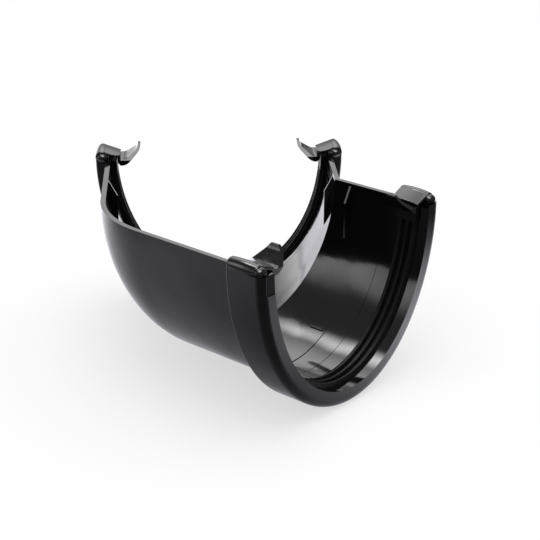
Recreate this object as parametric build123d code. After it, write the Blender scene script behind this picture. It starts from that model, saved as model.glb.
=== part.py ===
from build123d import *
import os
from math import cos, degrees, radians, sin, sqrt, tan

# Gutter angle: a corner fitting that joins two runs of half-elliptical gutter at 135 degrees.
# Millimetres, +Z up. The origin is the point where the centre lines of the two legs meet, on
# the plane of the channel's rim. The plane x = 0 is the mitre: the legs run to +X and to -X,
# both towards +Y, so the outer corner points to -Y.
#
# A leg is first drawn in a frame of its own: x is the sideways distance from the centre line,
# positive on the outside of the bend, y is the height over the rim, and z runs along the leg
# from the corner. It is then laid on the -X side and mirrored to the +X side.

# The gutter that the sockets take
gutter_half_width = 57.5
gutter_bottom_drop = 77.2

# Bend and channel
bend_angle = 135.0
leg_length = 86.0
wall = 2.6
channel_gap_side = 1.9
channel_gap_bottom = 0.2

# Socket band
band_length = 21.8
band_proud_side = 5.4
band_proud_bottom = 6.8
band_face_radius = 4.0
band_back_radius = 0.9
socket_wall = 4.4
lip_length = 6.0
lip_clearance = 0.9
lip_step_depth = 1.0
lip_step_width = 5.8
lip_step_drop = 9.8

# Rubber seal and its groove
groove_length = 12.0
groove_top_drop = 1.8
seal_ridge_drop = 9.6
seal_side_gap = 0.1
seal_squeeze = 1.2
seal_ridge_height = 1.8
seal_ridge_count = 3
seal_ridge_pitch = 4.0
seal_ridge_tip = 0.9
seal_ridge_root = 2.4
seal_last_ridge = 1.3

# Retaining clips
cap_back = 0.5
cap_front_inset = 3.7
cap_crest_from_back = 7.0
cap_crown_radius = 60.0
roll_radius = 3.75
roll_rise = 1.5
roll_overhang = 0.55
roll_front_round = 1.2
roll_back_round = 0.9
roll_hole_radius = 1.1
roll_hole_depth = 0.6
plate_thickness = 1.5
plate_sink = 0.08
plate_inset = 0.4
cap_reach = 10.1
cap_slope = 20.0
cap_underside = 1.6
cap_edge_radius = 0.5
cap_back_corner = 5.0
cap_front_corner = 0.6
pocket_inset = 0.3
slot_floor = 0.5
slot_width = 1.6
tab_reach = 9.8
tab_rise = 7.2
tab_hook_drop = 3.4
tab_hook_run = 1.5
tab_thickness = 1.7
tab_root_length = 17.0
tab_tip_length = 4.2

# Fins that stop the gutter's end
fin_from_mitre = 34.4
fin_thickness = 1.1
fin_top_drop = 1.5
fin_reach = 4.45
fin_corner_drop = 9.9

# Marks inside the channel
line_from_face = 39.2
line_half_span = 29.0
line_width = 0.9
line_depth = 0.35
fine_line_from_face = 26.8
fine_line_width = 0.4
fine_line_depth = 0.2
pip_side = 26.0
pip_length = 8.0
pip_width = 1.5
pip_height = 0.7
pip_gap = 2.0
pin_mark_radius = 0.9
pin_mark_depth = 0.2
pin_mark_gap = 3.4

# Sizes that follow from those above
half_bend = radians(bend_angle / 2)
channel_inner = (gutter_half_width + channel_gap_side, gutter_bottom_drop + channel_gap_bottom)
channel_outer = (channel_inner[0] + wall, channel_inner[1] + wall)
band_outer = (channel_outer[0] + band_proud_side, channel_outer[1] + band_proud_bottom)
lip_inner = (gutter_half_width + lip_clearance, gutter_bottom_drop + lip_clearance)
groove_floor = (band_outer[0] - socket_wall, band_outer[1] - socket_wall)
seal_crest = (gutter_half_width - seal_squeeze, gutter_bottom_drop - seal_squeeze)
seal_base = (seal_crest[0] + seal_ridge_height, seal_crest[1] + seal_ridge_height)
band_start = leg_length - band_length
groove_end = leg_length - lip_length
groove_start = groove_end - groove_length
cap_start = band_start + cap_back
cap_end = leg_length - cap_front_inset
cap_middle = (cap_start + cap_end) / 2
cap_crest = cap_start + cap_crest_from_back
roll_side = band_outer[0] + roll_overhang - roll_radius
cap_inner_side = roll_side - cap_reach
over = 5.0


def below_rim(half_axes, drop=0.0):
    """The filled half-ellipse under the rim, or the part of it that lies drop below the rim."""
    across, down = half_axes
    keep = Rectangle(4 * across, 4 * down, align=(Align.CENTER, Align.MAX))
    return Ellipse(across, down) & Pos(0, -drop) * keep


def grown(half_axes, by):
    """The half axes of a half-ellipse with its wall moved outwards."""
    return half_axes[0] + by, half_axes[1] + by


def along(face, start, end):
    """The solid that a cross section sweeps between two distances from the corner."""
    return Pos(0, 0, start) * extrude(face, end - start)


def ellipsoid(half_axes):
    """The solid that a half-ellipse would sweep about the upright axis, above the rim as well."""
    across, down = half_axes
    ball = Rot(0, 90, 0) * Sphere(across)
    return scale(ball, by=(1, 1, down / across))


def box_between(low, high):
    """A box given by two opposite corners in the leg's frame."""
    size = [b - a for a, b in zip(low, high)]
    return Pos(*low) * Box(*size, align=(Align.MIN, Align.MIN, Align.MIN))


def upright(outline, low, high):
    """The upright prism on a plan: sideways distance across, distance from the corner along."""
    plan = Plane(origin=(0, low, 0), x_dir=(1, 0, 0), z_dir=(0, -1, 0))
    return extrude(plan * outline, high - low, dir=(0, 1, 0))


def both_sides(solid):
    """A piece on the outside of the bend and the same piece on the inside."""
    return solid + mirror(solid, about=Plane.YZ)


def to_near_leg(solid):
    """Lay a piece from the leg's frame on the -X side."""
    leg_plane = Plane(
        origin=(0, 0, 0),
        x_dir=(-cos(half_bend), -sin(half_bend), 0),
        z_dir=(-sin(half_bend), cos(half_bend), 0),
    )
    return leg_plane * solid


# The leg's outside: the channel, cut to the mitre later, and the socket band around its end
tube = along(below_rim(channel_outer), 0, leg_length - over)
band = along(below_rim(band_outer), band_start, leg_length)
band_rounds = [e for e in band.edges() if e.geom_type == GeomType.ELLIPSE]
band_front = [e for e in band_rounds if e.center().Z > leg_length - over]
band = fillet(band_front, band_face_radius)
band_rounds = [e for e in band.edges() if e.geom_type == GeomType.ELLIPSE]
band_back = [e for e in band_rounds if e.center().Z < band_start + over / 2]
band = fillet(band_back, band_back_radius)
leg = tube + band

# The leg's inside: the channel, the seal's groove and the lip that the gutter passes through
leg -= along(below_rim(channel_inner), -over, groove_end)
leg -= along(below_rim(groove_floor, groove_top_drop), groove_start, groove_end)
leg -= along(below_rim(lip_inner), groove_end - over, leg_length + over)

# The face slopes back towards the mouth, down to a small step
step_plan = Polygon(
    (lip_inner[0] + lip_step_width, leg_length),
    (0, leg_length),
    (0, leg_length - lip_step_depth),
    (lip_inner[0], leg_length - lip_step_depth),
    align=None,
)
leg -= both_sides(upright(step_plan, -lip_step_drop, over))

# The clip's roll: a barrel on the rim, with rounded ends and a small hole in its front end


def roll_radius_at(place):
    """The barrel's radius at a distance from the corner: it falls off along an arc."""
    fall = cap_crown_radius - sqrt(cap_crown_radius**2 - (place - cap_crest) ** 2)
    return roll_radius - fall


roll_back = (roll_radius_at(cap_start), cap_start)
roll_front = (roll_radius_at(cap_end), cap_end)
roll_profile = make_face(
    ThreePointArc(roll_back, (roll_radius, cap_crest), roll_front)
    + Polyline(roll_front, (0, cap_end), (0, cap_start), roll_back)
)
for corner, round_off in ((roll_back, roll_back_round), (roll_front, roll_front_round)):
    end_corner = roll_profile.vertices().sort_by_distance((*corner, 0))[0]
    roll_profile = fillet(end_corner, round_off)
roll_plane = Plane(origin=(0, 0, 0), x_dir=(1, 0, 0), z_dir=(0, -1, 0))
roll = revolve(roll_plane * roll_profile, Axis.Z)
roll -= Pos(0, 0, cap_end) * Cylinder(roll_hole_radius, 2 * roll_hole_depth)
roll = Pos(roll_side, roll_rise, 0) * roll

# A plate slopes inwards from the roll over the gutter's edge. It is crowned along the leg like
# the roll, and the pocket that the gutter's edge slides through runs right through under it.
slope = radians(cap_slope)
cap_crown = (roll_side - roll_radius * sin(slope), roll_rise + roll_radius * cos(slope))


def crowned(section):
    """The solid that a cross section sweeps along the leg in the arc of the crown."""
    radius = cap_crown_radius * cos(slope)
    turn_axis = Axis((0, cap_crown[1] - radius, cap_crest), (1, 0, 0))
    half_turn = degrees((cap_end - cap_start) / radius)
    first = (Pos(0, 0, cap_crest) * section).rotate(turn_axis, -half_turn)
    return revolve(first, turn_axis, 2 * half_turn)


def plate_line(side, depth):
    """A point on the sloped line that lies depth under the plate's tangent line."""
    return side, cap_crown[1] - (cap_crown[0] - side) * tan(slope) - depth / cos(slope)


plate_section = Polygon(
    plate_line(cap_crown[0], plate_sink),
    plate_line(cap_inner_side, plate_sink),
    (cap_inner_side, -over),
    (roll_side, -over),
    (roll_side, roll_rise),
    align=None,
)
plate_start = cap_start + plate_inset
plate_end = cap_end - plate_inset
plate_outline = Polygon(
    (roll_side, plate_start),
    (cap_inner_side, plate_start),
    (cap_inner_side, plate_end),
    (roll_side, plate_end),
    align=None,
)
for end, round_off in ((plate_start, cap_back_corner), (plate_end, cap_front_corner)):
    nose_corner = plate_outline.vertices().sort_by_distance((cap_inner_side, end, 0))[0]
    plate_outline = fillet(nose_corner, round_off)
plate = crowned(plate_section) & upright(plate_outline, -over, 3 * over)
plate_top = plate.faces().sort_by(Axis.Y)[-1]
plate_edges = [e for e in plate_top.edges() if e.center().X < cap_crown[0] - cap_edge_radius]
plate = fillet(plate_edges, cap_edge_radius)

pocket_side = cap_crown[0] - pocket_inset
pocket_section = Polygon(
    plate_line(pocket_side, plate_thickness),
    plate_line(cap_inner_side + tab_hook_run, plate_thickness),
    (cap_inner_side + tab_hook_run, -2 * over),
    (pocket_side, -2 * over),
    align=None,
)
above_seal = box_between((0, -cap_underside, 0), (2 * band_outer[0], 4 * over, 2 * leg_length))
cap = ((roll + plate) & above_seal) - crowned(pocket_section)

# The springy tab that snaps behind the gutter's front edge. It hangs from the cap's nose in a
# small hook and rises inwards, and it narrows from its root to its tip.
slot_side = cap_inner_side - slot_width
tip_side = cap_inner_side - tab_reach
tab_bend = (0.45 * tip_side + 0.55 * slot_side, 0.25 * tab_rise)
tab_upper = Spline(
    (slot_side, -slot_floor),
    tab_bend,
    (tip_side + 0.25 * tab_thickness, tab_rise - 0.5 * tab_thickness),
    tangents=[(-1, 0.2), (-0.2, 1)],
)
tab_tip = ThreePointArc(
    tab_upper @ 1,
    (tip_side - 0.2 * tab_thickness, tab_rise),
    (tip_side - 0.7 * tab_thickness, tab_rise - 0.7 * tab_thickness),
)
tab_lower = Spline(
    tab_tip @ 1,
    (tab_bend[0] - 0.8 * tab_thickness, tab_bend[1] - 0.9 * tab_thickness),
    (slot_side, -tab_hook_drop),
    tangents=[(0.2, -1), (1, -0.2)],
)
hook = Polyline(
    tab_lower @ 1,
    (cap_inner_side, -tab_hook_drop),
    (cap_inner_side + tab_hook_run, -cap_underside),
    (cap_inner_side + tab_hook_run, -slot_floor),
    tab_upper @ 0,
)
tab_section = make_face(tab_upper + tab_tip + tab_lower + hook)
tab_outline = Polygon(
    (cap_middle - tab_root_length / 2, -tab_hook_drop - over),
    (cap_middle + tab_root_length / 2, -tab_hook_drop - over),
    (cap_middle + tab_root_length / 2, -slot_floor),
    (cap_middle + tab_tip_length / 2, tab_rise),
    (cap_middle - tab_tip_length / 2, tab_rise),
    (cap_middle - tab_root_length / 2, -slot_floor),
    align=None,
)
side_view = Plane(origin=(tip_side - over, 0, 0), x_dir=(0, 0, 1), z_dir=(-1, 0, 0))
tab_prism = extrude(side_view * tab_outline, 6 * over, dir=(1, 0, 0))
tab = along(tab_section, cap_start, cap_end) & tab_prism
leg += both_sides(cap + tab)

# Marks on the channel's inner wall: where the gutter's end goes, and where the seal begins


def ring_cut(middle, width, depth, half_span):
    """A shallow groove around the channel's wall, as far up as half_span reaches."""
    ring = below_rim(grown(channel_inner, depth))
    ring &= Rectangle(2 * half_span, 4 * channel_outer[1])
    return along(ring, middle - width / 2, middle + width / 2)


def wall_rib(face, height, start, end):
    """A rib that stands on the channel's inner wall where face covers it."""
    band_of_wall = below_rim(grown(channel_inner, wall / 2)) - below_rim(
        grown(channel_inner, -height)
    )
    return along(band_of_wall & face, start, end)


leg -= ring_cut(leg_length - line_from_face, line_width, line_depth, line_half_span)
fine_line = leg_length - fine_line_from_face
leg -= ring_cut(fine_line, fine_line_width, fine_line_depth, channel_outer[0])
pip_start = leg_length - line_from_face - pip_gap - pip_length
pip_face = Pos(pip_side, -channel_inner[1]) * Rectangle(pip_width, channel_inner[1])
leg += both_sides(wall_rib(pip_face, pip_height, pip_start, pip_start + pip_length))
fin_tip = (channel_inner[0] - fin_reach, -fin_corner_drop)
fin_face = Polygon(
    (channel_outer[0], -fin_top_drop),
    (channel_inner[0], -fin_top_drop),
    fin_tip,
    (fin_tip[0], -channel_inner[1]),
    (channel_outer[0], -channel_inner[1]),
    align=None,
)
fin_face &= below_rim(grown(channel_inner, wall / 2))
fin = along(fin_face, fin_from_mitre, fin_from_mitre + fin_thickness)
leg += both_sides(fin)
pin_mark = Pos(channel_inner[0] + wall / 2, 0, band_start - pin_mark_gap) * (
    Rot(90, 0, 0) * Cylinder(pin_mark_radius, 2 * pin_mark_depth)
)
leg -= both_sides(pin_mark)

# The legs meet on the mitre inside the bend. Outside it the channel turns about the upright
# axis through the origin, so the corner is round.
near_leg = to_near_leg(leg)
near_leg &= Pos(-2 * leg_length, 0, 0) * Box(4 * leg_length, 8 * leg_length, 8 * leg_length)
corner_plan = Polygon(
    (0, 0),
    (-4 * channel_outer[0] * cos(half_bend), -4 * channel_outer[0] * sin(half_bend)),
    (4 * channel_outer[0] * cos(half_bend), -4 * channel_outer[0] * sin(half_bend)),
    align=None,
)
corner_wedge = extrude(corner_plan, 2 * channel_outer[1], dir=(0, 0, -1))
corner = (ellipsoid(channel_outer) - ellipsoid(channel_inner)) & corner_wedge
angle_body = near_leg + corner + mirror(near_leg, about=Plane.YZ)

# One seal per socket: a strip in the groove with ridges that press on the gutter
seal_start = groove_start + seal_side_gap
seal_end = groove_end - seal_side_gap
seal_face = below_rim(grown(groove_floor, -seal_side_gap), groove_top_drop + seal_side_gap)
seal = along(seal_face, seal_start, seal_end)
seal -= along(below_rim(seal_crest), seal_start - over, seal_end + over)
last_ridge = seal_end - seal_last_ridge
ridges = [last_ridge - seal_ridge_pitch * i for i in reversed(range(seal_ridge_count))]
valley_starts = [seal_start] + [r + seal_ridge_root / 2 for r in ridges]
valley_ends = [r - seal_ridge_root / 2 for r in ridges] + [seal_end]
for start, end in zip(valley_starts, valley_ends):
    seal -= along(below_rim(seal_base, seal_ridge_drop), start, end)
for ridge in ridges:
    for way in (-1, 1):
        foot = Pos(0, 0, ridge + way * seal_ridge_root / 2) * below_rim(seal_base, seal_ridge_drop)
        tip = Pos(0, 0, ridge + way * seal_ridge_tip / 2) * below_rim(seal_crest, seal_ridge_drop)
        seal -= loft([foot, tip])
near_seal = to_near_leg(seal)
far_seal = mirror(near_seal, about=Plane.YZ)

os.makedirs("parts", exist_ok=True)
export_step(angle_body, "parts/angle_body.step")
export_step(near_seal, "parts/near_seal.step")
export_step(far_seal, "parts/far_seal.step")
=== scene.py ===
from math import cos, pi, radians, sin, sqrt

import bmesh
import bpy
from mathutils import Matrix, Vector


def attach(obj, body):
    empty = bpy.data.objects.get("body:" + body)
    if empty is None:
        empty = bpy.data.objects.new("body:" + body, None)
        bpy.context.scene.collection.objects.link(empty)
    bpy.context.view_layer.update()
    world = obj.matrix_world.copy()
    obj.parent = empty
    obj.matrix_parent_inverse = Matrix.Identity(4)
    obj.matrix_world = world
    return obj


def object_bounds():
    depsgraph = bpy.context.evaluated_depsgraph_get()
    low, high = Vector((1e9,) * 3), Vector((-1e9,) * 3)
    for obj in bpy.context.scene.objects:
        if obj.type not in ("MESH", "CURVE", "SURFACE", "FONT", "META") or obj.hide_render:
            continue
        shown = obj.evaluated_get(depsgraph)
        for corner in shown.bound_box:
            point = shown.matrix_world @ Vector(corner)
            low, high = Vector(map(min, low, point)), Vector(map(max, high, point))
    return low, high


# The gutter angle: one gloss black moulding with a matte rubber seal in each socket.
# Metres, +Z up, in the frame of the solids: the mitre is the plane x = 0 and the rim is z = 0.
# The leg on -X is called near and the leg on +X far, as in the names of the seals.

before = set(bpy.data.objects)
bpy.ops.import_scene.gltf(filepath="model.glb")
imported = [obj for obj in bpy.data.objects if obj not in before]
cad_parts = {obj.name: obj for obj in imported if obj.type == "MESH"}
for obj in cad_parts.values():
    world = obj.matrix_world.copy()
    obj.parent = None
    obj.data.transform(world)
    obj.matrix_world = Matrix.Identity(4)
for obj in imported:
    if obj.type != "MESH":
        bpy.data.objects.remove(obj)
cad_low, cad_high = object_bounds()

# A leg's own directions: side is across the leg from its middle, positive outside the bend,
# along is from the corner, height is over the rim
HALF_BEND = radians(67.5)
LEG_END = 0.086

# Barrel under each clip's cap
BARREL_SIDE = 0.0639
BARREL_HEIGHT = 0.0012
BARREL_BACK = 0.0656
BARREL_FRONT = 0.0821
BARREL_HALF_WIDTH = 0.0033
BARREL_HALF_HEIGHT = 0.0025
BARREL_END = 0.0029
BARREL_SEGMENTS = 48
BARREL_RINGS = 32

# Top corner of the end face below each clip: it starts at the ellipse of the socket's lip
LIP_SIDE = 0.0584
LIP_BOTTOM = 0.0781
STEP_BACK = 0.0011
STEP_WIDTH = 0.0057
STEP_DROP = 0.0098
STEP_LAYERS = 6
ROUND_START = 0.0050
ROUND_BACK = STEP_BACK / 12
RECESS_DEPTH = 0.00025
RECESS_WIDTH = 0.0042

# Camera, found from the photograph's rims and mouths: degrees, metres, and millimetres for the lens
CAMERA_AZIMUTH = 65.886
CAMERA_ELEVATION = 19.627
CAMERA_DISTANCE = 0.7292
CAMERA_YAW = -1.824
CAMERA_PITCH = -2.915
CAMERA_ROLL = 0.765
CAMERA_CLIP = 0.01
SENSOR = 36.0
LENS = 95.71

# Light: a white surround and one soft lamp, together at a plain level
SURROUND = 1.0
SURROUND_FILL = 0.8
FLOOR_COLOUR = 0.45
FLOOR_GLOW = 0.6
FLOOR_HALF = 3.0
LAMP_PLACE = (0.05, -0.05, 1.2)
LAMP_SIZE = (1.2, 0.8)
LAMP_RADIANCE = 1.0

# What the gloss shows of the sky: a level, and soft spots. Each has its azimuth and elevation in
# degrees, its radius on a sphere of radius 1, and the level that is added in its middle
SKY_LEVEL = 0.35
SKY_SPOTS = {
    "softbox_right": ((80, 75), 0.60, 11.0),
    "softbox_left": ((-75, 61), 0.22, 15.0),
    "behind": ((-113, 44), 0.74, 3.2),
    "left": ((-25, 0), 0.75, 1.4),
    "left_high": ((-21, 22), 0.28, 2.3),
    "left_behind": ((-88, -2), 0.33, 1.8),
}

# What the gloss shows of the table: a dim level that is painted shade of the floor, and soft spots of
# painted light on it, listed as above with x, y and the radius in metres
TABLE_SHADE_LEVEL = 0.12
TABLE_LIGHT_SPOTS = {
    "far_left": ((-0.42, 0.07), 0.60, 2.0),
    "left_edge": ((-1.3, 0.03), 0.95, 1.7),
    "left_end": ((-2.6, 0.0), 1.30, 2.0),
    "near_left": ((0.0, -0.22), 0.20, 0.4),
    "inner_corner": ((0.05, 0.15), 0.17, 2.4),
}
TABLE_LIFT = 0.001
TABLE_TINT = (0.98, 0.97, 1.04, 1)

# Materials. A noise is its scale and detail, a roughness is its lowest and highest value, and a
# relief is layers of scale, detail and depth
PLASTIC_COLOUR = (0.0018, 0.0018, 0.0021, 1)
PLASTIC_IOR = 1.5
PLASTIC_NOISE = (45.0, 4.0)
PLASTIC_ROUGHNESS = (0.02, 0.14)
PLASTIC_RELIEF = [(28.0, 1.0, 0.0009), (900.0, 2.0, 0.000004)]
# The recess plastic's low IOR dims its reflections: painted shade of the recess
RECESS_SHADE_IOR = 1.2
RECESS_NOISE = (700.0, 2.0)
RECESS_ROUGHNESS = (0.4, 0.6)
RUBBER_COLOUR = (0.002, 0.002, 0.0021, 1)
RUBBER_IOR = 1.25
RUBBER_NOISE = (120.0, 3.0)
RUBBER_ROUGHNESS = (0.42, 0.62)
RUBBER_RELIEF = [(1500.0, 2.0, 0.00002)]


def turn(axis, degrees):
    """A turn about one of the camera's own axes, as rows."""
    return Matrix.Rotation(radians(degrees), 3, axis)


def toward(azimuth, elevation):
    """The direction of an azimuth and an elevation, azimuth 0 on the -Y side and 90 on +X."""
    turned = radians(azimuth)
    raised = radians(elevation)
    return Vector((sin(turned) * cos(raised), -cos(turned) * cos(raised), sin(raised)))


def make_camera():
    """The photograph's view: the camera looks at the origin, then turns by three small angles."""
    back = toward(CAMERA_AZIMUTH, CAMERA_ELEVATION)
    ahead = -back
    right = ahead.cross(Vector((0, 0, 1))).normalized()
    up = right.cross(ahead)
    rows = turn("Z", CAMERA_ROLL) @ turn("X", CAMERA_PITCH) @ turn("Y", CAMERA_YAW)
    rows = rows @ Matrix((right, up, ahead))
    columns = Matrix((rows[0], rows[1], -rows[2])).transposed()
    data = bpy.data.cameras.new("camera")
    data.lens = LENS
    data.sensor_width = SENSOR
    data.clip_start = CAMERA_CLIP
    camera = bpy.data.objects.new("camera", data)
    camera.matrix_world = Matrix.Translation(back * CAMERA_DISTANCE) @ columns.to_4x4()
    bpy.context.collection.objects.link(camera)
    bpy.context.scene.camera = camera


def soft_spots(tree, coordinate, level, spots):
    """An even level with soft round spots added, each fading to nothing at its radius."""
    total = None
    for centre, radius, added in spots:
        away = tree.nodes.new("ShaderNodeVectorMath")
        away.operation = "DISTANCE"
        away.inputs[1].default_value = centre
        tree.links.new(coordinate, away.inputs[0])
        fade = tree.nodes.new("ShaderNodeMapRange")
        fade.interpolation_type = "SMOOTHSTEP"
        fade.inputs["From Max"].default_value = radius
        fade.inputs["To Min"].default_value = added
        fade.inputs["To Max"].default_value = 0.0
        tree.links.new(away.outputs["Value"], fade.inputs["Value"])
        both = tree.nodes.new("ShaderNodeMath")
        both.inputs[1].default_value = level
        tree.links.new(fade.outputs["Result"], both.inputs[0])
        if total is not None:
            tree.links.new(total, both.inputs[1])
        total = both.outputs[0]
    return total


def choice(tree, factor, off, on):
    """One of two levels: off where the factor is 0 and on where it is 1."""
    node = tree.nodes.new("ShaderNodeMix")
    tree.links.new(factor, node.inputs["Factor"])
    for socket, level in (("A", off), ("B", on)):
        if isinstance(level, float):
            node.inputs[socket].default_value = level
        else:
            tree.links.new(level, node.inputs[socket])
    return node.outputs["Result"]


def make_world():
    """A white surround. The gloss sees a dim studio with soft lights there instead."""
    world = bpy.data.worlds.new("surround")
    world.use_nodes = True
    tree = world.node_tree
    background = tree.nodes["Background"]
    background.inputs["Color"].default_value = (1, 1, 1, 1)
    place = tree.nodes.new("ShaderNodeTexCoord")
    spots = [(toward(*angles), radius, added) for angles, radius, added in SKY_SPOTS.values()]
    studio = soft_spots(tree, place.outputs["Generated"], SKY_LEVEL, spots)
    path = tree.nodes.new("ShaderNodeLightPath")
    unseen = choice(tree, path.outputs["Is Glossy Ray"], SURROUND_FILL, studio)
    strength = choice(tree, path.outputs["Is Camera Ray"], unseen, SURROUND)
    tree.links.new(strength, background.inputs["Strength"])
    bpy.context.scene.world = world


def level_sheet(name, half, height):
    """A wide level square, outside the object."""
    shape = bmesh.new()
    bmesh.ops.create_grid(shape, x_segments=1, y_segments=1, size=half)
    bmesh.ops.translate(shape, vec=(0, 0, height), verts=shape.verts)
    mesh = bpy.data.meshes.new(name)
    shape.to_mesh(mesh)
    shape.free()
    sheet = bpy.data.objects.new(name, mesh)
    bpy.context.collection.objects.link(sheet)
    return sheet


def principled(name):
    """A material with one Principled shader, and its node tree."""
    material = bpy.data.materials.new(name)
    material.use_nodes = True
    tree = material.node_tree
    return material, tree, tree.nodes["Principled BSDF"]


def make_floor():
    """A wide white sheet under the part. It keeps the part's shadow."""
    floor = level_sheet("floor", FLOOR_HALF, cad_low.z)
    material, tree, shader = principled("floor_white")
    shader.inputs["Base Color"].default_value = (FLOOR_COLOUR, FLOOR_COLOUR, FLOOR_COLOUR, 1)
    shader.inputs["Roughness"].default_value = 1.0
    shader.inputs["Specular IOR Level"].default_value = 0.0
    shader.inputs["Emission Color"].default_value = (1, 1, 1, 1)
    shader.inputs["Emission Strength"].default_value = FLOOR_GLOW
    floor.data.materials.append(material)


def make_table_shade_and_light():
    """The table as the gloss sees it: a glowing sheet, dim as painted shade of the floor, with pale
    places of painted light. No camera or diffuse ray meets it.
    """
    table = level_sheet("table", FLOOR_HALF, cad_low.z + TABLE_LIFT)
    table.visible_camera = False
    table.visible_diffuse = False
    table.visible_shadow = False
    material = bpy.data.materials.new("table")
    material.use_nodes = True
    tree = material.node_tree
    tree.nodes.clear()
    place = tree.nodes.new("ShaderNodeTexCoord")
    spots = [((x, y, cad_low.z), radius, added) for (x, y), radius, added in TABLE_LIGHT_SPOTS.values()]
    glow = tree.nodes.new("ShaderNodeEmission")
    glow.inputs["Color"].default_value = TABLE_TINT
    strength = soft_spots(tree, place.outputs["Object"], TABLE_SHADE_LEVEL, spots)
    tree.links.new(strength, glow.inputs["Strength"])
    out = tree.nodes.new("ShaderNodeOutputMaterial")
    tree.links.new(glow.outputs[0], out.inputs["Surface"])
    table.data.materials.append(material)


def make_lamp():
    """The soft lamp overhead."""
    data = bpy.data.lights.new("lamp", "AREA")
    data.shape = "RECTANGLE"
    data.size, data.size_y = LAMP_SIZE
    data.energy = LAMP_RADIANCE * pi * data.size * data.size_y
    lamp = bpy.data.objects.new("lamp", data)
    lamp.location = LAMP_PLACE
    lamp.visible_camera = False
    bpy.context.collection.objects.link(lamp)


def object_noise(tree, scale, detail):
    """Noise in the object's own coordinates. Its output runs from 0 to 1."""
    place = tree.nodes.new("ShaderNodeTexCoord")
    noise = tree.nodes.new("ShaderNodeTexNoise")
    noise.inputs["Scale"].default_value = scale
    noise.inputs["Detail"].default_value = detail
    tree.links.new(place.outputs["Object"], noise.inputs["Vector"])
    return noise.outputs["Fac"]


def vary_roughness(tree, shader, noise, limits):
    """Let the roughness wander between two limits."""
    node = tree.nodes.new("ShaderNodeMapRange")
    low, high = limits
    node.inputs["To Min"].default_value = low
    node.inputs["To Max"].default_value = high
    tree.links.new(object_noise(tree, *noise), node.inputs["Value"])
    tree.links.new(node.outputs["Result"], shader.inputs["Roughness"])


def add_relief(tree, shader, layers):
    """Bump from several noises of (scale, detail, depth in metres), one over the other."""
    normal = None
    for scale, detail, depth in layers:
        bump = tree.nodes.new("ShaderNodeBump")
        bump.inputs["Distance"].default_value = depth
        tree.links.new(object_noise(tree, scale, detail), bump.inputs["Height"])
        if normal is not None:
            tree.links.new(normal, bump.inputs["Normal"])
        normal = bump.outputs["Normal"]
    tree.links.new(normal, shader.inputs["Normal"])


def gloss_black():
    """Polished black plastic: a little wavy where the wall shrank in the mould, with a fine skin."""
    material, tree, shader = principled("gloss_black_plastic")
    shader.inputs["Base Color"].default_value = PLASTIC_COLOUR
    shader.inputs["IOR"].default_value = PLASTIC_IOR
    vary_roughness(tree, shader, PLASTIC_NOISE, PLASTIC_ROUGHNESS)
    add_relief(tree, shader, PLASTIC_RELIEF)
    return material


def recess_black():
    """The same plastic, unpolished and rougher, in the shallow recess of the outer face corners. Its
    low IOR dims its reflections, which is painted shade of the recess.
    """
    material, tree, shader = principled("recess_plastic_painted_shade")
    shader.inputs["Base Color"].default_value = PLASTIC_COLOUR
    shader.inputs["IOR"].default_value = RECESS_SHADE_IOR
    vary_roughness(tree, shader, RECESS_NOISE, RECESS_ROUGHNESS)
    return material


def seal_rubber():
    """Matte black rubber with a fine grain."""
    material, tree, shader = principled("seal_rubber")
    shader.inputs["Base Color"].default_value = RUBBER_COLOUR
    shader.inputs["IOR"].default_value = RUBBER_IOR
    vary_roughness(tree, shader, RUBBER_NOISE, RUBBER_ROUGHNESS)
    add_relief(tree, shader, RUBBER_RELIEF)
    return material


def dress(node, material):
    """Give a solid's object one material."""
    piece = bpy.data.objects[node]
    for slot in piece.material_slots:
        slot.material = material


def leg_frame(leg):
    """Turns side, along and height of one leg into the part's frame. leg is 1 on +X, -1 on -X."""
    across = Vector((leg * cos(HALF_BEND), -sin(HALF_BEND), 0))
    along = Vector((leg * sin(HALF_BEND), cos(HALF_BEND), 0))
    return Matrix((across, along, (0, 0, 1))).transposed()


def finished(shape, name, leg, material, smooth):
    """Turn a bmesh drawn in a leg's directions into a piece of the moulding that rides with it."""
    bmesh.ops.transform(shape, matrix=leg_frame(leg).to_4x4(), verts=shape.verts)
    bmesh.ops.recalc_face_normals(shape, faces=shape.faces)
    for face in shape.faces:
        face.smooth = smooth
    mesh = bpy.data.meshes.new(name)
    shape.to_mesh(mesh)
    shape.free()
    mesh.materials.append(material)
    piece = bpy.data.objects.new(name, mesh)
    bpy.context.collection.objects.link(piece)
    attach(piece, "root")


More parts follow.
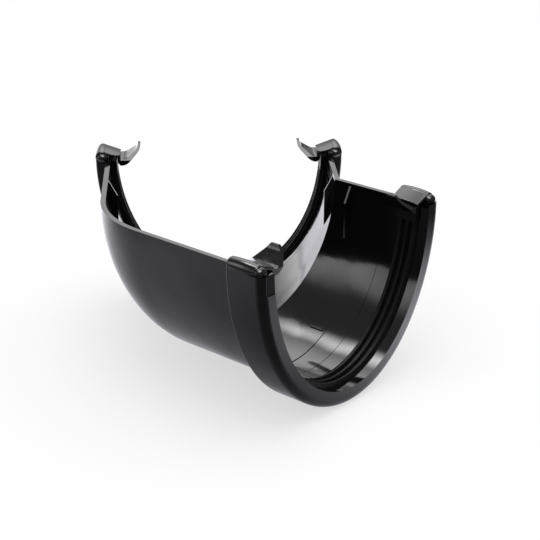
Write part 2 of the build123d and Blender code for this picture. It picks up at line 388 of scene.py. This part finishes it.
def barrel(name, leg, side, material):
    """The barrel under a clip's cap: its round ends show before and behind the cap."""
    shape = bmesh.new()
    bmesh.ops.create_uvsphere(shape, u_segments=BARREL_SEGMENTS, v_segments=BARREL_RINGS, radius=1.0)
    half_straight = (BARREL_FRONT - BARREL_BACK) / 2
    for point in shape.verts:
        end = 1 if point.co.z > 0 else -1
        across, up, along = point.co
        reach = along * BARREL_END + end * half_straight
        point.co = (across * BARREL_HALF_WIDTH, reach, up * BARREL_HALF_HEIGHT)
    middle = Vector((side * BARREL_SIDE, (BARREL_BACK + BARREL_FRONT) / 2, BARREL_HEIGHT))
    bmesh.ops.translate(shape, vec=middle, verts=shape.verts)
    finished(shape, name, leg, material, smooth=True)


def face_corner(name, leg, side, material):
    """The top of the socket's end face: level, and with a shallow recess outside the bend."""
    front = LEG_END
    plan = [(0, front - STEP_BACK), (0, front), (ROUND_START, front), (STEP_WIDTH, front - ROUND_BACK)]
    plan.append((STEP_WIDTH, front - STEP_BACK))
    if side > 0:
        recess_front = front - RECESS_DEPTH
        plan[1:2] = [(0, recess_front), (RECESS_WIDTH, recess_front), (RECESS_WIDTH, front)]
    shape = bmesh.new()
    lowest = shape.faces.new([shape.verts.new((across, along, 0)) for across, along in plan])
    for _ in range(STEP_LAYERS):
        made = bmesh.ops.extrude_face_region(shape, geom=[lowest])["geom"]
        layer = [item for item in made if isinstance(item, bmesh.types.BMVert)]
        bmesh.ops.translate(shape, vec=(0, 0, -STEP_DROP / STEP_LAYERS), verts=layer)
        lowest = next(item for item in made if isinstance(item, bmesh.types.BMFace))
    for point in shape.verts:
        lip = LIP_SIDE * sqrt(1 - (point.co.z / LIP_BOTTOM) ** 2)
        point.co.x = side * (lip + point.co.x)
    finished(shape, name, leg, material, smooth=False)


make_camera()
make_world()
make_floor()
make_table_shade_and_light()
make_lamp()

black = gloss_black()
recess = recess_black()
rubber = seal_rubber()
dress("angle_body", black)
for seal in ("near_seal", "far_seal"):
    dress(seal, rubber)

for leg_name, leg in (("near", -1), ("far", 1)):
    for side_name, side in (("outer", 1), ("inner", -1)):
        barrel(f"{leg_name}_{side_name}_barrel", leg, side, black)
        # Outside the bend the whole corner piece takes the dimmed recess plastic, painted shade wider
        # than the recess
        face_corner(f"{leg_name}_{side_name}_face_corner", leg, side, recess if side > 0 else black)

view = bpy.context.scene.view_settings
view.view_transform = "Standard"
